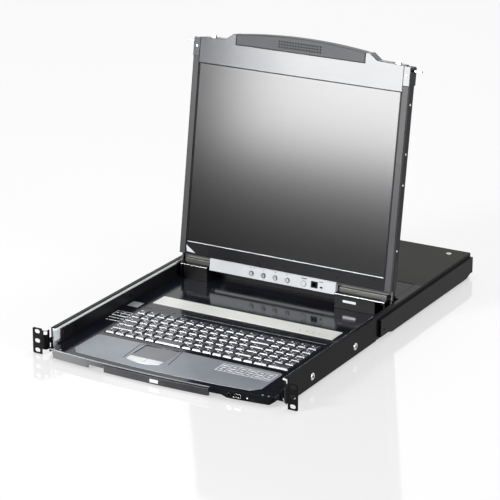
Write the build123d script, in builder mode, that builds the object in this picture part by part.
from build123d import *
import os
from math import cos, radians, sin, sqrt

# Rackmount LCD console drawer: a one-unit slide-out keyboard tray with a fold-up display.
# Sizes are in millimetres. X runs to the right, Y into the rack and Z up. The origin is the
# centre of the front rack slots, on the front face of the ears. Heights are measured from
# the ears' lower edge. The drawer is shown pushed in and the display standing open.

os.makedirs("parts", exist_ok=True)

# Rack standard
rack_width = 482.6
ear_height = 43.7
ear_width = 17.5
slot_centres = 465.1
slot_pitch = 15.875
slot_long = 10.0
slot_wide = 7.0

# Sheet metal and clearances
pan_sheet = 1.2
bracket_sheet = 1.5
rail_sheet = 1.5
slide_sheet = 1.0
clearance = 0.3
slide_clearance = 0.4
shaft_clearance = 0.06

# Chassis
chassis_low = 3.0
chassis_high = 43.0
wall_half = 216.5
chassis_front = 16.5
chassis_back = 676.0
bracket_end = 310.0
box_front = 484.0
lip_start = 312.0
lip_step = 408.0
front_lip = 8.0
back_lip = 14.0
rail_front = 320.0
rail_reach = 5.0
rail_low = 6.7
rail_high = 36.0
screw_rows = (92.3, 236.2)
screw_height = 19.0
screw_radius = 2.5
screw_head = 6.0
cover_screw = (184.0, 653.0)

# Bracket front
bend_radius = 5.0
neck_low = 9.0
neck_high = 41.0
notch_front = 9.6
notch_back = 16.0
notch_low = 26.5
window_low = 34.0
window_high = 40.3

# Slides
slide_length = 450.0
slide_low = 5.0
slide_high = 41.0
slide_tip = 206.2
inner_start = 33.0

# Rear connectors
port_count = 8
port_pitch = 28.0
port_first = -184.0
port_height = 17.5
port_reach = 5.0
port_flange = 2.5
module_centre = 166.0
module_width = 62.0
module_height = 27.0
module_middle = 22.0

# Drawer
tray_half = 204.3
tray_low = 5.0
tray_wall_top = 19.8
tray_front = 15.0
tray_back = 482.0
deck_half = 202.8
deck_top = 17.0
deck_plate = 2.5
deck_back = 414.7
deck_wall = 2.4
lip_half = 198.0
lip_end = -9.0
lip_middle = -20.5
lip_corner = 7.0
skirt_low = 8.0
tab_low = 2.4
tab_span = (-197.0, -126.0)
handle_span = (-95.0, 95.5)
handle_low = 1.8
handle_high = 13.5
handle_wall = 4.0
handle_proud = 0.8
housing_left = 117.0
housing_low = 4.4
usb_middle = 143.5
usb_height = 10.2
jack_middle = 130.5
jack_height = 10.4
rear_deck_front = 415.0
rear_deck_half = 200.7

# Keyboard
key_pitch = 18.83
key_columns = 18
key_front = 97.0
key_middle = 1.5
cap_low = 16.2
cap_height = 3.4
cap_gap = 1.1
cap_taper = 20.0
key_travel = 2.1
bed_top = 13.8
stem_width = 5.0
stem_depth = 4.0
stem_foot = 8.6

# Palm rest, touchpad and strip
palm_half = 171.0
palm_back = 84.0
palm_proud = 0.2
palm_recess = 0.8
palm_gap = 13.5
pad_left = -77.0
pad_right = -14.0
pad_front = 33.5
pad_back = 81.0
button_back = 31.5
button_side_front = 18.0
button_middle_front = 11.0
button_split = -44.0
button_travel = 0.6
strip_half = 169.5
strip_front = 247.5
strip_back = 283.5
strip_thick = 0.8

# Display hinge
opened = 98.7
axis_y = 399.5
axis_height = 36.0
axis_below = 21.1
axis_behind = 15.7
shaft_radius = 4.0
hub_radius = 7.2
block_front = 380.5
block_back = 412.0
block_top = 43.2
block_wall = 2.0
cheek = 2.5
hinge_outer = 196.0
right_block = (102.5, 178.0)
left_block = (-190.0, -143.4)
lobe_radius = 16.2

# Display
display_half = 203.0
display_high = 372.0
display_deep = 19.0
front_layer = 4.0
shell_wall = 2.0
strip_inner = 191.0
strip_high = 341.0
header_high = 374.0
screen_half = 188.0
screen_low = 21.5
screen_high = 330.6
glass_recess = 0.8
glass_thick = 2.0
shoulder_high = 386.4
shoulder_out = 142.0
shoulder_in = 128.0
grip_left = -122.0
grip_right = 120.0
grip_low = 369.4
grip_high = 394.0
grip_rise = 7.7
cap_deep = 22.5
arm_half = 202.8
arm_thick = 3.0
arm_top = 50.0
control_left = -140.7
control_right = 102.0
control_low = -21.3
control_high = -1.5
button_x = (-58.7, -35.5, -12.7, 10.8)
button_v = -12.8
button_radius = 3.6
power_x = 42.0
power_radius = 4.6
osd_travel = 0.8
jack_x = 62.0
jack_v = -11.2
switch_left = 72.8
switch_v = -14.2
switch_travel = 2.6
latch_tip = 219.0
latch_inner = 166.0
latch_v = 366.0
latch_depth = 10.5
latch_travel = 8.0
latch_tab = 173.5
latch_tab_top = 378.5
latch_roof = 369.6
latch_wall = 17.6
shell_top = 364.0

pan_half = wall_half - bracket_sheet
pan_inner = pan_half - pan_sheet
rail_half = pan_half + rail_reach
header_low = screen_high + clearance
keys_left = key_middle - key_columns * key_pitch / 2
keys_right = key_middle + key_columns * key_pitch / 2
key_back = key_front + 6 * key_pitch
tray_floor = tray_low + pan_sheet
bow_sag = lip_end - lip_middle
bow_radius = (lip_half ** 2 + bow_sag ** 2) / (2 * bow_sag)


def up(height):
    return height - ear_height / 2


def level(height):
    return Plane.XY.offset(up(height))


def across(y):
    return Plane.XZ.offset(-y)


def lengthwise(x):
    return Plane.YZ.offset(x)


def bow(x):
    return lip_middle + bow_radius - sqrt(bow_radius ** 2 - x ** 2)


def write(piece, name):
    piece.part.label = name
    export_step(piece.part, f"parts/{name}.step")


# The display's own planes: u runs up its front face and w runs into its thickness.
up_face = Vector(0, -cos(radians(opened)), sin(radians(opened)))
behind = Vector(0, sin(radians(opened)), cos(radians(opened)))
hinge_centre = Vector(0, axis_y, up(axis_height))
face_origin = hinge_centre + up_face * axis_below - behind * axis_behind


def face(depth):
    return Plane(origin=face_origin + behind * depth, x_dir=(1, 0, 0), z_dir=behind * -1)


def display_side(x):
    return Plane(origin=face_origin + Vector(x, 0, 0), x_dir=up_face, z_dir=(-1, 0, 0))


def box_sketch(x_low, x_high, y_low, y_high, mode=Mode.ADD):
    with Locations(((x_low + x_high) / 2, (y_low + y_high) / 2)):
        Rectangle(x_high - x_low, y_high - y_low, mode=mode)


def slab(plane, x_low, x_high, y_low, y_high, thickness, mode=Mode.ADD):
    with BuildSketch(plane) as outline:
        box_sketch(x_low, x_high, y_low, y_high)
    extrude(outline.sketch, amount=thickness, mode=mode)


def edges_of_length(piece, length):
    return piece.edges().filter_by(lambda edge: abs(edge.length - length) < 0.01)


def sided(side, inner, outer):
    return sorted((side * inner, side * outer))


# Small round holes, shanks and buttons are drawn with a few flat sides.
def few_sided(radius, sides=8, mode=Mode.ADD):
    RegularPolygon(radius=radius, side_count=sides, mode=mode)


# ---------------------------------------------------------------- chassis

port_places = [port_first + port_pitch * i for i in range(port_count)]
board_height = tray_low + 4.0
board_sheet = 1.6
board_gap = 16.0
board_half = pan_inner - 8.8
board_span = (-board_half, 60.0)
board_depth = (box_front + board_gap, chassis_back - 4.0)
supply_span = (board_span[1] + 20.0, board_half)
supply_depth = (box_front + board_gap, chassis_back - 31.0)
supply_middle = sum(supply_span) / 2


def boss_places(span, depth):
    inset = 6.0
    return [(x, y) for x in (span[0] + inset, span[1] - inset) for y in (depth[0] + inset, depth[1] - inset)]


with BuildPart() as base_pan:
    slab(level(chassis_low), -pan_half, pan_half, chassis_front, chassis_back, pan_sheet)
    for side in (-1, 1):
        with BuildSketch(lengthwise(side * pan_half)):
            with BuildLine():
                Polyline(
                    (chassis_front, up(chassis_low)), (chassis_back, up(chassis_low)),
                    (chassis_back, up(chassis_high - pan_sheet)), (box_front, up(chassis_high - pan_sheet)),
                    (box_front - clearance, up(chassis_high)), (lip_start, up(chassis_high)),
                    (lip_start, up(chassis_high - bracket_sheet)),
                    (chassis_front, up(chassis_high - bracket_sheet)), close=True)
            make_face()
        extrude(amount=-side * pan_sheet)
        low, high = sided(side, pan_half - front_lip + bracket_sheet, pan_half)
        slab(level(chassis_high - pan_sheet), low, high, lip_start, lip_step, pan_sheet)
        low, high = sided(side, pan_half - back_lip, pan_half)
        slab(level(chassis_high - pan_sheet), low, high, lip_step, box_front - clearance, pan_sheet)
        with BuildSketch(lengthwise(side * pan_half)):
            with Locations([(y, up(screw_height)) for y in screw_rows]):
                few_sided(screw_radius + 0.1)
        extrude(amount=-side * pan_sheet, mode=Mode.SUBTRACT)
    slab(across(chassis_back - pan_sheet), -pan_half, pan_half, up(chassis_low),
         up(chassis_high - pan_sheet), -pan_sheet)
    with BuildSketch(across(chassis_back)):
        with Locations([(x, up(port_height)) for x in port_places]):
            Rectangle(18.0, 9.4)
        with Locations((module_centre, up(module_middle))):
            Rectangle(module_width - 4, module_height - 4)
    extrude(amount=pan_sheet * 2, mode=Mode.SUBTRACT)
    with BuildSketch(level(chassis_low + pan_sheet)):
        with Locations(boss_places(board_span, board_depth) + boss_places(supply_span, supply_depth)):
            Rectangle(6.0, 6.0)
    extrude(amount=board_height - chassis_low - pan_sheet)
write(base_pan, "base_pan")

for side, hand in ((-1, "left"), (1, "right")):
    ear_outer = rack_width / 2
    ear_inner = ear_outer - ear_width
    bend_centre = pan_half + bend_radius
    with BuildPart() as front_bracket:
        with BuildSketch(across(0)) as ear:
            low, high = sided(side, ear_inner, ear_outer)
            box_sketch(low, high, up(0), up(ear_height))
            fillet(ear.vertices().group_by(Axis.X)[0 if side < 0 else -1], 2.5)
            low, high = sided(side, bend_centre, ear_inner + 3)
            box_sketch(low, high, up(neck_low), up(neck_high))
            with Locations([(side * slot_centres / 2, i * slot_pitch) for i in (-1, 0, 1)]):
                SlotOverall(slot_long, slot_wide, mode=Mode.SUBTRACT)
        extrude(amount=-bracket_sheet)
        with BuildSketch(level(neck_low)):
            with Locations((side * bend_centre, bend_radius)):
                Circle(bend_radius)
                Circle(bend_radius - bracket_sheet, mode=Mode.SUBTRACT)
            with Locations((side * (pan_half + bend_radius / 2), bend_radius / 2)):
                Rectangle(bend_radius, bend_radius, mode=Mode.INTERSECT)
        extrude(amount=neck_high - neck_low)
        with BuildSketch(lengthwise(side * wall_half)):
            with BuildLine():
                Polyline(
                    (bend_radius, up(neck_low)), (notch_front, up(neck_low)), (notch_front, up(chassis_low)),
                    (bracket_end, up(chassis_low)), (bracket_end, up(chassis_high)),
                    (notch_back, up(chassis_high)), (notch_back, up(notch_low)),
                    (notch_front, up(notch_low)), (notch_front, up(neck_high)),
                    (bend_radius, up(neck_high)), close=True)
            make_face()
            with Locations((notch_front + 2.4, up(14))):
                Rectangle(4.0, 8.0, mode=Mode.SUBTRACT)
            with Locations([(y, up(screw_height)) for y in screw_rows]):
                few_sided(screw_radius + 0.1, mode=Mode.SUBTRACT)
        extrude(amount=-side * bracket_sheet)
        low, high = sided(side, wall_half - front_lip, wall_half)
        slab(level(chassis_high - bracket_sheet), low, high, notch_back, bracket_end, bracket_sheet)
        low, high = sided(side, pan_half - 1, bend_centre + 1)
        slab(level(window_low), low, high, -1, bend_radius, window_high - window_low, Mode.SUBTRACT)
        flange_edges = edges_of_length(front_bracket, bracket_end - notch_back).group_by(Axis.Z)[-1]
        chamfer(flange_edges.sort_by(Axis.X)[0 if side < 0 else -1], bracket_sheet * 0.7)
    write(front_bracket, f"front_bracket_{hand}")

    with BuildPart() as rear_rail:
        with BuildSketch(lengthwise(side * rail_half)):
            with BuildLine():
                Polyline(
                    (rail_front, up(rail_low)), (rail_front + 28, up(rail_low)),
                    (rail_front + 41, up(chassis_low)), (chassis_back - 24, up(chassis_low)),
                    (chassis_back - 10, up(chassis_low + 5)), (chassis_back, up(chassis_low + 5)),
                    (chassis_back, up(rail_high)), (rail_front, up(rail_high)), close=True)
            make_face()
            with Locations((rail_front + 11.5, up(17))):
                few_sided(1.8, mode=Mode.SUBTRACT)
        extrude(amount=-side * rail_sheet)
        low, high = sided(side, pan_half, rail_half)
        slab(level(rail_high - rail_sheet), low, high, rail_front, chassis_back, rail_sheet)
        slab(level(chassis_low), low, high, rail_front + 41, chassis_back - 24, rail_sheet)
        slab(across(rail_front), low, high, up(rail_low), up(rail_high), -rail_sheet)
        outer_corner = rear_rail.edges().filter_by(Axis.Z).group_by(Axis.Y)[0].sort_by(Axis.X)
        chamfer(outer_corner[0 if side < 0 else -1], rail_sheet * 0.7)
    write(rear_rail, f"rear_rail_{hand}")

with BuildPart() as rear_cover:
    slab(level(chassis_high - pan_sheet), -pan_half, pan_half, box_front, chassis_back, pan_sheet)
    slab(across(box_front), -pan_inner + clearance, pan_inner - clearance,
         up(chassis_low + pan_sheet + clearance), up(chassis_high), -pan_sheet)
    with BuildSketch(level(chassis_high)):
        with Locations(cover_screw):
            few_sided(screw_radius + 0.1)
    extrude(amount=-pan_sheet, mode=Mode.SUBTRACT)
    long_edges = rear_cover.edges().filter_by(Axis.Y).group_by(Axis.Z)[-1]
    chamfer(long_edges, pan_sheet * 0.6)
write(rear_cover, "rear_cover")

with BuildPart() as chassis_screws:
    for side in (-1, 1):
        with BuildSketch(lengthwise(side * wall_half)) as heads:
            with Locations([(y, up(screw_height)) for y in screw_rows]):
                few_sided(screw_head, 20)
        extrude(heads.sketch, amount=side * 1.3, taper=35)
        with BuildSketch(lengthwise(side * wall_half)) as shanks:
            with Locations([(y, up(screw_height)) for y in screw_rows]):
                few_sided(screw_radius)
        extrude(shanks.sketch, amount=-side * (bracket_sheet + pan_sheet + slide_sheet))
    with BuildSketch(level(chassis_high)) as head:
        with Locations(cover_screw):
            few_sided(4.6, 20)
    extrude(head.sketch, amount=0.7, taper=30)
    with BuildSketch(level(chassis_high)) as shank:
        with Locations(cover_screw):
            few_sided(screw_radius)
    extrude(shank.sketch, amount=-5)
write(chassis_screws, "chassis_screws")

with BuildPart() as main_board:
    board_top = board_height + board_sheet
    slab(level(board_height), *board_span, *board_depth, board_sheet)
    for share in (0.2, 0.55, 0.85):
        x = board_span[0] + share * (board_span[1] - board_span[0])
        slab(level(board_top), x - 14, x + 14, board_depth[0] + 45, board_depth[0] + 73, 2.5)
    slab(level(board_top), board_span[0] + 10, board_span[0] + 70, board_depth[0] + 6, board_depth[0] + 14, 8)
    slab(level(board_top), board_span[1] - 70, board_span[1] - 10, board_depth[0] + 6, board_depth[0] + 14, 8)
write(main_board, "main_board")

with BuildPart() as power_supply:
    slab(level(board_height), *supply_span, *supply_depth, board_sheet)
    slab(level(board_top), supply_span[0] + 12, supply_span[0] + 44, supply_depth[0] + 20, supply_depth[0] + 56, 22)
    slab(level(board_top), supply_middle + 7, supply_middle + 13, supply_depth[0] + 15, supply_depth[0] + 100, 20)
    with BuildSketch(level(board_top)):
        with Locations([(supply_span[1] - 25, supply_depth[0] + along) for along in (35, 62, 89)]):
            few_sided(9.0, 12)
    extrude(amount=24)
write(power_supply, "power_supply")

with BuildPart() as computer_ports:
    for x in port_places:
        slab(level(board_top), x - 13, x + 13, board_depth[1] - 10, board_depth[1], 12.5)
        slab(across(board_depth[1]), x - 13.5, x + 13.5, up(port_height - 6), up(port_height + 6), -port_flange)
        with BuildSketch(across(board_depth[1] + port_flange)) as shell:
            with Locations((x, up(port_height))):
                Trapezoid(17, 8.4, 80)
        extrude(amount=-(chassis_back + port_reach - board_depth[1] - port_flange))
        with BuildSketch(across(chassis_back + port_reach)) as socket:
            with Locations((x, up(port_height))):
                Trapezoid(15.6, 7.0, 80)
        extrude(amount=1.5, mode=Mode.SUBTRACT)
write(computer_ports, "computer_ports")

rocker_centre = module_centre + 19.5
rocker_half = (7.0, 8.4)
rocker_axis_y = chassis_back - 4.0
rocker_shaft = 1.5
inlet_centre = module_centre - 11.0

with BuildPart() as power_inlet:
    slab(across(chassis_back), module_centre - module_width / 2, module_centre + module_width / 2,
         up(module_middle - module_height / 2), up(module_middle + module_height / 2), -2.0)
    slab(across(chassis_back), module_centre - module_width / 2 + 2.3, module_centre + module_width / 2 - 2.3,
         up(module_middle - module_height / 2 + 2.3), up(module_middle + module_height / 2 - 2.3), 22.0)
    with BuildSketch(across(chassis_back + 2.0)):
        with Locations((inlet_centre, up(module_middle))):
            Rectangle(25.0, 16.5)
    extrude(amount=17.0, mode=Mode.SUBTRACT)
    with BuildSketch(across(chassis_back + 2.0)):
        with Locations((rocker_centre, up(module_middle))):
            Rectangle(2 * (rocker_half[0] + 0.5), 2 * (rocker_half[1] + 1.6))
    extrude(amount=18.0, mode=Mode.SUBTRACT)
    with BuildSketch(across(chassis_back - 15.0)):
        with Locations((inlet_centre - 7, up(module_middle - 1.5)), (inlet_centre + 7, up(module_middle - 1.5)),
                       (inlet_centre, up(module_middle + 3.5))):
            Rectangle(2.0, 4.0)
    extrude(amount=-14.0)
    with BuildSketch(lengthwise(rocker_centre - rocker_half[0] - 2.5)):
        with Locations((rocker_axis_y, up(module_middle))):
            few_sided(rocker_shaft + shaft_clearance, 12)
    extrude(amount=2 * rocker_half[0] + 5.0, mode=Mode.SUBTRACT)
write(power_inlet, "power_inlet")

with BuildPart() as power_rocker:
    with BuildSketch(lengthwise(rocker_centre - rocker_half[0])):
        with BuildLine():
            front = chassis_back + 3.4
            back = rocker_axis_y - 4.0
            low = up(module_middle - rocker_half[1])
            high = up(module_middle + rocker_half[1])
            ThreePointArc((front - 1.6, low), (front - 2.4, up(module_middle)), (front, high))
            Polyline((front, high), (rocker_axis_y, high - 0.6), (back, up(module_middle + 3)),
                     (back, up(module_middle - 3)), (rocker_axis_y, low + 0.6), (front - 1.6, low))
        make_face()
    extrude(amount=2 * rocker_half[0])
    with BuildSketch(lengthwise(rocker_centre - rocker_half[0] - 2.2)):
        with Locations((rocker_axis_y, up(module_middle))):
            few_sided(rocker_shaft, 12)
    extrude(amount=2 * rocker_half[0] + 4.4)
write(power_rocker, "power_rocker")

# ---------------------------------------------------------------- slides


def channel(web, tip, low, high, start, length):
    toward = 1 if tip > web else -1
    with BuildSketch(across(start)) as section:
        with Locations(((web + tip) / 2, up((low + high) / 2))):
            Rectangle(abs(tip - web), high - low)
        with Locations(((web + tip) / 2 + toward * slide_sheet, up((low + high) / 2))):
            Rectangle(abs(tip - web), high - low - 2 * slide_sheet, mode=Mode.SUBTRACT)
        corners = section.vertices().group_by(Axis.X)[0 if toward > 0 else -1]
        chamfer(corners, slide_sheet * 0.7)
    extrude(section.sketch, amount=-length)


slide_step = slide_sheet + slide_clearance
inner_length = slide_length - (inner_start - chassis_front)
for side, hand in ((-1, "left"), (1, "right")):
    with BuildPart() as slide_outer:
        channel(side * pan_inner, side * slide_tip, slide_low, slide_high, chassis_front, slide_length)
        with BuildSketch(lengthwise(side * pan_inner)):
            with Locations([(y, up(screw_height)) for y in screw_rows]):
                few_sided(screw_radius + 0.1)
        extrude(amount=-side * slide_sheet, mode=Mode.SUBTRACT)
    write(slide_outer, f"slide_outer_{hand}")

    with BuildPart() as slide_mid:
        channel(side * (pan_inner - slide_step), side * slide_tip, slide_low + slide_step,
                slide_high - slide_step, chassis_front, slide_length)
    write(slide_mid, f"slide_mid_{hand}")

    with BuildPart() as slide_inner:
        channel(side * tray_half, side * (pan_inner - 2 * slide_step), slide_low + 2 * slide_step,
                slide_high - 2 * slide_step, inner_start, inner_length)
        with BuildSketch(lengthwise(side * tray_half)):
            with Locations([(inner_start + along, up(30)) for along in (35, 200, 390)]):
                few_sided(2.2)
        extrude(amount=side * slide_sheet, mode=Mode.SUBTRACT)
    write(slide_inner, f"slide_inner_{hand}")

# ---------------------------------------------------------------- drawer

drawer_board_span = (-90.0, 90.0)
drawer_board_depth = (rear_deck_front + 10.0, tray_back - 7.0)

with BuildPart() as drawer_tray:
    slab(level(tray_low), -tray_half, tray_half, tray_front, tray_back, pan_sheet)
    for side in (-1, 1):
        low, high = sided(side, tray_half - pan_sheet, tray_half)
        slab(level(tray_low), low, high, tray_front, tray_back, tray_wall_top - tray_low)
    with BuildSketch(level(tray_floor)):
        with Locations(boss_places(drawer_board_span, drawer_board_depth)):
            Rectangle(6.0, 6.0)
    extrude(amount=board_height - tray_floor)
write(drawer_tray, "drawer_tray")

with BuildPart() as drawer_board:
    slab(level(board_height), *drawer_board_span, *drawer_board_depth, board_sheet)
    slab(level(board_top), -20, 20, drawer_board_depth[0] + 10, drawer_board_depth[1] - 10, 2.5)
    slab(level(board_top), 50, 85, drawer_board_depth[0] + 5, drawer_board_depth[0] + 13, 8)
write(drawer_board, "drawer_board")


def deck_plan(inset, mode=Mode.ADD):
    half = lip_half - inset
    front = bow(lip_half) + inset
    with BuildLine() as outline:
        ThreePointArc((-half, front), (0, lip_middle + inset), (half, front))
        Polyline((half, front), (deck_half - inset, lip_end + lip_corner), (deck_half - inset, deck_back),
                 (-deck_half + inset, deck_back), (-deck_half + inset, lip_end + lip_corner), (-half, front))
    make_face(outline.edges(), mode=mode)


def button_plan(low, high, grow, mode=Mode.ADD):
    ends = bow_through(low - grow), bow_through(high + grow)
    centre = (low + high) / 2
    with BuildLine() as outline:
        ThreePointArc((low - grow, ends[0] - grow), (centre, bow_through(centre) - grow),
                      (high + grow, ends[1] - grow))
        Polyline((high + grow, ends[1] - grow), (high + grow, button_back + grow),
                 (low - grow, button_back + grow), (low - grow, ends[0] - grow))
    make_face(outline.edges(), mode=mode)


def bow_through(x):
    span = (pad_right - pad_left) / 2
    offset = x - (pad_left + pad_right) / 2
    return button_middle_front + (button_side_front - button_middle_front) * (offset / span) ** 2


def palm_plan(inset):
    half = palm_half - inset
    cut = 12.0
    ends = bow(half - cut) + palm_gap + inset
    with BuildLine() as outline:
        ThreePointArc((-half + cut, ends), (0, lip_middle + palm_gap + inset), (half - cut, ends))
        Polyline((half - cut, ends), (half, ends + cut + 2), (half, palm_back - inset - 5),
                 (half - 5, palm_back - inset), (-half + 5, palm_back - inset),
                 (-half, palm_back - inset - 5), (-half, ends + cut + 2), (-half + cut, ends))
    make_face(outline.edges())


palm_floor = deck_top - palm_recess
pad_floor = deck_top - deck_plate + 0.7

with BuildPart() as keyboard_deck:
    with BuildSketch(level(deck_top - deck_plate)):
        deck_plan(0)
    extrude(amount=deck_plate)
    with BuildSketch(level(skirt_low)):
        deck_plan(0)
        deck_plan(deck_wall, Mode.SUBTRACT)
        box_sketch(-deck_half, housing_left - clearance, lip_middle, tray_front - clearance, Mode.INTERSECT)
        box_sketch(handle_span[0] - clearance, handle_span[1] + clearance, lip_middle, tray_front, Mode.SUBTRACT)
    extrude(amount=deck_top - skirt_low - deck_plate)
    with BuildSketch(level(tab_low)):
        deck_plan(0)
        deck_plan(deck_wall, Mode.SUBTRACT)
        box_sketch(*tab_span, lip_middle, 0, Mode.INTERSECT)
    extrude(amount=skirt_low - tab_low)
    for side in (-1, 1):
        low, high = sided(side, deck_half - deck_wall, deck_half)
        slab(level(tray_floor), low, high, tray_front, deck_back, deck_top - deck_plate - tray_floor)
    slab(level(tray_floor), -deck_half, deck_half, deck_back - deck_wall, deck_back,
         deck_top - deck_plate - tray_floor)
    slab(level(deck_top), keys_left - 1, keys_right + 1, key_front - 1.5, key_back + 1.5, -deck_plate,
         Mode.SUBTRACT)
    with BuildSketch(level(deck_top)):
        palm_plan(0)
    extrude(amount=-palm_recess, mode=Mode.SUBTRACT)
    slab(level(deck_top), pad_left - 0.2, pad_right + 0.2, pad_front - 0.2, pad_back + 0.2,
         pad_floor - deck_top, Mode.SUBTRACT)
    with BuildSketch(level(deck_top)):
        button_plan(pad_left + 1, pad_right - 1, clearance)
    extrude(amount=-deck_plate, mode=Mode.SUBTRACT)
    slab(level(deck_top), -palm_half, palm_half, key_back + 13, key_back + 14.2, -0.5, Mode.SUBTRACT)
write(keyboard_deck, "keyboard_deck")

with BuildPart() as palm_rest:
    with BuildSketch(level(palm_floor)):
        palm_plan(0.15)
        box_sketch(pad_left - 0.2, pad_right + 0.2, pad_front - 0.2, pad_back + 0.2, Mode.SUBTRACT)
        button_plan(pad_left + 1, pad_right - 1, clearance, Mode.SUBTRACT)
    extrude(amount=palm_recess + palm_proud)
write(palm_rest, "palm_rest")

with BuildPart() as touchpad:
    slab(level(pad_floor), pad_left, pad_right, pad_front, pad_back, 1.5)
write(touchpad, "touchpad")

for hand, low, high in (("left", pad_left + 1, button_split - 0.2), ("right", button_split + 0.2, pad_right - 1)):
    with BuildPart() as touchpad_button:
        with BuildSketch(level(deck_top - 2.0)):
            button_plan(low, high, 0)
        extrude(amount=2.6)
    write(touchpad_button, f"touchpad_button_{hand}")


def row_y(row):
    return key_front + key_pitch * (row + 0.5)


with BuildPart() as key_bed:
    slab(level(tray_floor), keys_left - 0.5, keys_right + 0.5, key_front - 1, key_back + 1, bed_top - tray_floor)
    with BuildSketch(level(tray_floor)):
        for row in range(6):
            with Locations((key_middle, row_y(row))):
                Rectangle(keys_right - keys_left - 8, stem_depth + 2 * slide_clearance)
    extrude(amount=bed_top - tray_floor, mode=Mode.SUBTRACT)
write(key_bed, "key_bed")

# Key widths along each row, in key pitches, front row first
typing_rows = (
    [1, 1, 1, 1, 1, None, 1, 1, 1, 1, 1, 1, 1],
    [2.25] + [1] * 10 + [1.75],
    [1.75] + [1] * 11 + [1.25],
    [1.5] + [1] * 11 + [1.5],
    [1] * 12 + [2],
)
space_width = 2.65


def row_keys(row, widths, first=0.0):
    keys = []
    at = first
    for width in widths:
        span = space_width if width is None else width
        if width is not None:
            keys.append((keys_left + key_pitch * (at + span / 2), row, span))
        at += span
    return keys


def add_keys(keys):
    with BuildSketch(level(cap_low)) as caps:
        for width in sorted({key[2] for key in keys}):
            with Locations([(x, row_y(row)) for x, row, span in keys if span == width]):
                Rectangle(width * key_pitch - cap_gap, key_pitch - cap_gap)
    extrude(caps.sketch, amount=cap_height, taper=cap_taper)
    with BuildSketch(level(cap_low)) as stems:
        with Locations([(x, row_y(row)) for x, row, width in keys]):
            Rectangle(stem_width, stem_depth)
    extrude(stems.sketch, amount=stem_foot - cap_low)


typing = [key for row, widths in enumerate(typing_rows) for key in row_keys(row, widths)]
keypad = [key for row in range(1, 5) for key in row_keys(row, [1] * 4, 14)]
keypad += row_keys(0, [1.35, 2], 14.65)

with BuildPart() as function_keys:
    add_keys(row_keys(5, [1] * key_columns))
write(function_keys, "function_keys")

with BuildPart() as typing_keys:
    add_keys(typing)
write(typing_keys, "typing_keys")

with BuildPart() as keypad_keys:
    add_keys(keypad)
write(keypad_keys, "keypad_keys")

with BuildPart() as space_bar:
    add_keys(row_keys(0, [space_width], 5))
write(space_bar, "space_bar")

with BuildPart() as indicator_strip:
    slab(level(deck_top), -strip_half, strip_half, strip_front, strip_back, strip_thick)
    with BuildSketch(level(deck_top + strip_thick)):
        with Locations([(103 + 14.4 * i, strip_front + 11.5) for i in range(4)]):
            few_sided(1.1)
    extrude(amount=-strip_thick, mode=Mode.SUBTRACT)
write(indicator_strip, "indicator_strip")


def bowed_band(low, high, front, back):
    centre = (low + high) / 2
    with BuildLine() as outline:
        ThreePointArc((low, bow(low) + front), (centre, bow(centre) + front), (high, bow(high) + front))
        Line((high, bow(high) + front), (high, bow(high) + back))
        ThreePointArc((high, bow(high) + back), (centre, bow(centre) + back), (low, bow(low) + back))
        Line((low, bow(low) + back), (low, bow(low) + front))
    make_face(outline.edges())


with BuildPart() as pull_handle:
    with BuildSketch(level(handle_low)):
        bowed_band(*handle_span, -handle_proud, handle_wall - handle_proud)
    extrude(amount=handle_high - handle_low)
    with BuildSketch(level(handle_high)):
        bowed_band(*handle_span, handle_proud, handle_wall - handle_proud)
    extrude(amount=deck_top - deck_plate - handle_high)
write(pull_handle, "pull_handle")

with BuildPart() as port_housing:
    with BuildSketch(level(housing_low)):
        deck_plan(0)
        box_sketch(housing_left, deck_half + 1, lip_middle, tray_front - clearance, Mode.INTERSECT)
    extrude(amount=deck_top - deck_plate - housing_low)
    with BuildSketch(across(tray_front)):
        with BuildLine():
            Polyline((housing_left, up(deck_top)), (housing_left, up(skirt_low)), (housing_left + 10, up(housing_low)),
                     (deck_half - 6, up(housing_low)), (deck_half, up(skirt_low)), (deck_half, up(deck_top)),
                     close=True)
        make_face()
    extrude(amount=tray_front - lip_middle, mode=Mode.INTERSECT)
    slab(across(lip_middle), usb_middle - 7.0, usb_middle + 7.0, up(usb_height - 3.2), up(usb_height + 3.2), -22,
         Mode.SUBTRACT)
    with BuildSketch(across(lip_middle)):
        with Locations((jack_middle, up(jack_height))):
            few_sided(2.6, 16)
    extrude(amount=-20, mode=Mode.SUBTRACT)
    with BuildSketch(across(lip_middle)):
        with Locations((161, up(9.2))):
            few_sided(1.5, 12)
        with Locations((170, up(9.0))):
            Rectangle(8, 2)
    extrude(amount=-9, mode=Mode.SUBTRACT)
write(port_housing, "port_housing")

with BuildPart() as usb_port:
    usb_front = bow(usb_middle) + 0.6
    slab(across(usb_front), usb_middle - 6.8, usb_middle + 6.8, up(usb_height - 3.0), up(usb_height + 3.0), -15)
    slab(across(usb_front), usb_middle - 6.3, usb_middle + 6.3, up(usb_height - 2.5), up(usb_height + 2.5), -12,
         Mode.SUBTRACT)
    slab(across(usb_front + 1.0), usb_middle - 5.0, usb_middle + 5.0, up(usb_height + 0.6), up(usb_height + 2.5), -11.5)
write(usb_port, "usb_port")

with BuildPart() as rear_deck:
    slab(level(chassis_high - pan_sheet), -rear_deck_half, rear_deck_half, rear_deck_front, tray_back, pan_sheet)
    for side in (-1, 1):
        low, high = sided(side, rear_deck_half - pan_sheet, rear_deck_half)
        slab(level(tray_floor), low, high, rear_deck_front, tray_back, chassis_high - tray_floor)
    slab(across(rear_deck_front), -rear_deck_half, rear_deck_half, up(tray_floor), up(chassis_high), -pan_sheet)
    slab(across(tray_back), -rear_deck_half, rear_deck_half, up(tray_floor), up(chassis_high), pan_sheet)
write(rear_deck, "rear_deck")

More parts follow.
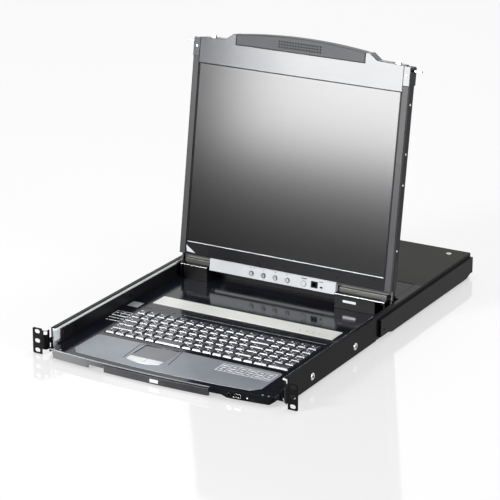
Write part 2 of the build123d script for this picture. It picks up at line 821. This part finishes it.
for hand, side, block in (("left", -1, left_block), ("right", 1, right_block)):
    inner = block[0] if side > 0 else block[1]
    outer = side * hinge_outer
    ends = sorted((inner, outer))
    with BuildPart() as hinge_block:
        slab(across(block_front), *block, up(deck_top), up(block_top), -block_wall)
        slab(across(block_front), *ends, up(block_top - 2.0), up(block_top), -3.0)
        slab(level(deck_top), *block, block_front, block_back, block_wall)
        slab(level(deck_top), *ends, block_front + 8, block_back, block_wall)
        for start in (ends[0], ends[1] - cheek):
            with BuildSketch(lengthwise(start)) as cheek_plan:
                box_sketch(block_front, block_back, up(deck_top), up(block_top))
                top_back = cheek_plan.vertices().group_by(Axis.Y)[-1].sort_by(Axis.X)[-1]
                fillet(top_back, 10)
            extrude(amount=cheek)
        with BuildSketch(lengthwise(ends[0])):
            with Locations((axis_y, up(axis_height))):
                Circle(shaft_radius + shaft_clearance)
        extrude(amount=ends[1] - ends[0], mode=Mode.SUBTRACT)
    write(hinge_block, f"hinge_block_{hand}")

# ---------------------------------------------------------------- display hinge, display side

hinge_u = -axis_below
hinge_w = axis_behind
shaft_spans = ((-arm_half, left_block[1]), (right_block[0], arm_half))
lobe_spans = ((-hinge_outer + cheek + clearance, left_block[1] - cheek - clearance),
              (right_block[0] + cheek + clearance, hinge_outer - cheek - clearance))

with BuildPart() as hinge_shafts:
    for low, high in shaft_spans:
        with BuildSketch(display_side(low)):
            with Locations((hinge_u, hinge_w)):
                Circle(shaft_radius)
        extrude(amount=-(high - low))
write(hinge_shafts, "hinge_shafts")

with BuildPart() as hinge_covers:
    for low, high in lobe_spans:
        with BuildSketch(display_side(low)) as lobe:
            with Locations((hinge_u, hinge_w)):
                Circle(hub_radius)
            box_sketch(hinge_u, hinge_u + 14, hinge_w - 8, hinge_w + 6)
            fillet(lobe.vertices().group_by(Axis.X)[-1], 2.5)
            with Locations((hinge_u, hinge_w)):
                Circle(shaft_radius, mode=Mode.SUBTRACT)
        extrude(amount=-(high - low))
write(hinge_covers, "hinge_covers")

with BuildPart() as hinge_arms:
    for side in (-1, 1):
        low, high = sided(side, hinge_outer + clearance, arm_half)
        with BuildSketch(display_side(low)):
            with Locations((hinge_u, hinge_w)):
                Circle(hub_radius)
                Circle(shaft_radius, mode=Mode.SUBTRACT)
        extrude(amount=-(high - low))
        low, high = sided(side, arm_half - arm_thick, arm_half)
        with BuildSketch(display_side(low)):
            box_sketch(hinge_u, arm_top, hinge_w - 5.2, hinge_w + 2.3)
            with Locations((hinge_u, hinge_w)):
                Circle(hub_radius - 0.2, mode=Mode.SUBTRACT)
        extrude(amount=-(high - low))
write(hinge_arms, "hinge_arms")

# ---------------------------------------------------------------- display

with BuildPart() as rear_shell:
    cap_inner = strip_inner - clearance
    slab(face(front_layer), -display_half, display_half, 0, strip_high - clearance, front_layer - display_deep)
    slab(face(front_layer), -cap_inner, cap_inner, strip_high - 1, shell_top, front_layer - display_deep)
    slab(face(front_layer), -display_half + shell_wall, display_half - shell_wall, shell_wall,
         strip_high - clearance - shell_wall, front_layer + shell_wall - display_deep, Mode.SUBTRACT)
    slab(face(front_layer), -cap_inner + shell_wall, cap_inner - shell_wall, strip_high - 4,
         shell_top - shell_wall, front_layer + shell_wall - display_deep, Mode.SUBTRACT)
    for side in (-1, 1):
        low, high = sided(side, arm_half - arm_thick - clearance, display_half + 1)
        slab(face(hinge_w - 5.5), low, high, -1, arm_top + clearance, -8.1, Mode.SUBTRACT)
write(rear_shell, "rear_shell")

with BuildPart() as front_bezel:
    with BuildSketch(face(0)):
        box_sketch(-strip_inner, strip_inner, 0, screen_high)
        box_sketch(-screen_half - 0.2, screen_half + 0.2, screen_low, screen_high + 1, Mode.SUBTRACT)
    extrude(amount=-front_layer)
write(front_bezel, "front_bezel")

for side, hand in ((-1, "left"), (1, "right")):
    with BuildPart() as side_strip:
        low, high = sided(side, strip_inner, display_half)
        slab(face(0), low, high, 0, strip_high, -front_layer)
        front_edges = edges_of_length(side_strip, strip_high).group_by(Axis.Y)[0]
        front_outer = front_edges.sort_by(Axis.X)[0 if side < 0 else -1]
        fillet(front_outer, 1.5)
    write(side_strip, f"side_strip_{hand}")

with BuildPart() as screen_glass:
    slab(face(glass_recess), -screen_half, screen_half, screen_low + 0.2, screen_high - 0.2, -glass_thick)
write(screen_glass, "screen_glass")

with BuildPart() as lcd_panel:
    slab(face(glass_recess + glass_thick), -screen_half + 3, screen_half - 3, screen_low + 2.5, screen_high - 2.5,
         -9.0)
write(lcd_panel, "lcd_panel")

with BuildPart() as display_board:
    panel_back = glass_recess + glass_thick + 9.0
    slab(face(panel_back + 2.0), -90, 60, 90, 190, -board_sheet)
    with BuildSketch(face(panel_back)):
        with Locations((-84, 96), (54, 96), (-84, 184), (54, 184)):
            Rectangle(6.0, 6.0)
    extrude(amount=-2.0)
write(display_board, "display_board")

with BuildPart() as header:
    with BuildSketch(face(0)):
        with BuildLine():
            Polyline((-strip_inner, header_low), (strip_inner, header_low), (strip_inner, header_high),
                     (shoulder_out, header_high + 2), (shoulder_in, shoulder_high), (-shoulder_in, shoulder_high),
                     (-shoulder_out, header_high + 2), (-strip_inner, header_high), close=True)
        make_face()
        box_sketch(grip_left - clearance, grip_right + clearance, grip_low - clearance, shoulder_high, Mode.SUBTRACT)
    extrude(amount=-display_deep)
    slab(face(front_layer), -strip_inner, strip_inner, header_low, shell_top + clearance,
         front_layer - display_deep, Mode.SUBTRACT)
    for side in (-1, 1):
        low, high = sided(side, latch_inner - latch_travel - 2, strip_inner)
        slab(face(front_layer), low, high, shell_top, latch_roof, -(latch_wall - front_layer), Mode.SUBTRACT)
        low, high = sided(side, latch_tab - 5 - latch_travel, latch_tab + 5)
        slab(face(latch_wall - 4.6), low, high, shell_top, header_high + 3, -4.6, Mode.SUBTRACT)
write(header, "header")

with BuildPart() as corner_caps:
    for side in (-1, 1):
        low, high = sided(side, strip_inner, display_half + 0.3)
        slab(face(0), low, high, strip_high, display_high, -cap_deep)
    cap_edges = edges_of_length(corner_caps, cap_deep).group_by(Axis.Z)[-1].sort_by(Axis.X)
    fillet([cap_edges[0], cap_edges[-1]], 3.0)
    for side in (-1, 1):
        low, high = sided(side, strip_inner - 1, display_half + 2)
        slab(face(latch_depth - 2.2), low, high, latch_v - 1.8, latch_v + 1.8, -4.4, Mode.SUBTRACT)
write(corner_caps, "corner_caps")

with BuildPart() as lcd_handle:
    with BuildSketch(face(-0.6)):
        centre = (grip_left + grip_right) / 2
        grip_end = grip_high - grip_rise
        with BuildLine():
            ThreePointArc((grip_left, grip_end), (centre, grip_high), (grip_right, grip_end))
            Polyline((grip_right, grip_end), (grip_right, grip_low), (grip_left, grip_low), (grip_left, grip_end))
        make_face()
    extrude(amount=-(display_deep + 0.6))
write(lcd_handle, "lcd_handle")

with BuildPart() as control_strip:
    slab(face(0), control_left, control_right, control_low, control_high, -1.6)
    slab(face(1.6), control_left, control_right, control_low + 1, 0, -7.4)
    with BuildSketch(face(0)):
        with Locations([(x, button_v) for x in button_x]):
            few_sided(button_radius + clearance, 18)
        with Locations((power_x, button_v)):
            few_sided(power_radius + clearance, 18)
    extrude(amount=-5.4, mode=Mode.SUBTRACT)
    slab(face(0), jack_x - 6.6, jack_x + 6.6, control_low + 4.2, jack_v + 5.6, -12, Mode.SUBTRACT)
    slab(face(0), switch_left - clearance, switch_left + 2.4 + switch_travel + clearance, switch_v - 1.5,
         switch_v + 1.5, -4, Mode.SUBTRACT)
write(control_strip, "control_strip")

with BuildPart() as modular_jack:
    slab(face(0.3), jack_x - 6.4, jack_x + 6.4, control_low + 4.4, jack_v + 5.4, -11.0)
    slab(face(0.3), jack_x - 4.8, jack_x + 4.8, jack_v - 4.0, jack_v + 3.6, -9.0, Mode.SUBTRACT)
write(modular_jack, "modular_jack")

for number, x in enumerate(button_x, start=1):
    with BuildPart() as osd_button:
        with BuildSketch(face(-1.2)):
            with Locations((x, button_v)):
                few_sided(button_radius, 18)
        extrude(amount=-(1.2 + 5.4 - osd_travel - clearance))
    write(osd_button, f"osd_button_{number}")

with BuildPart() as power_button:
    with BuildSketch(face(-0.9)):
        with Locations((power_x, button_v)):
            few_sided(power_radius, 18)
    extrude(amount=-(0.9 + 5.4 - osd_travel - clearance))
write(power_button, "power_button")

with BuildPart() as slide_switch:
    slab(face(-0.4), switch_left, switch_left + 2.4, switch_v - 1.2, switch_v + 1.2, -4.1)
write(slide_switch, "slide_switch")

for side, hand in ((-1, "left"), (1, "right")):
    with BuildPart() as lcd_latch:
        low, high = sided(side, latch_inner, latch_tip)
        slab(face(latch_depth - 2.0), low, high, latch_v - 1.5, latch_v + 1.5, -4.0)
        low, high = sided(side, latch_tab - 4.5, latch_tab + 4.5)
        slab(face(latch_depth - 2.0), low, high, latch_v - 1.5, latch_v + 1.5, -(latch_wall - latch_depth + 1.6))
        slab(face(latch_wall - 4.2), low, high, latch_v - 1.5, latch_tab_top, -3.8)
    write(lcd_latch, f"lcd_latch_{hand}")
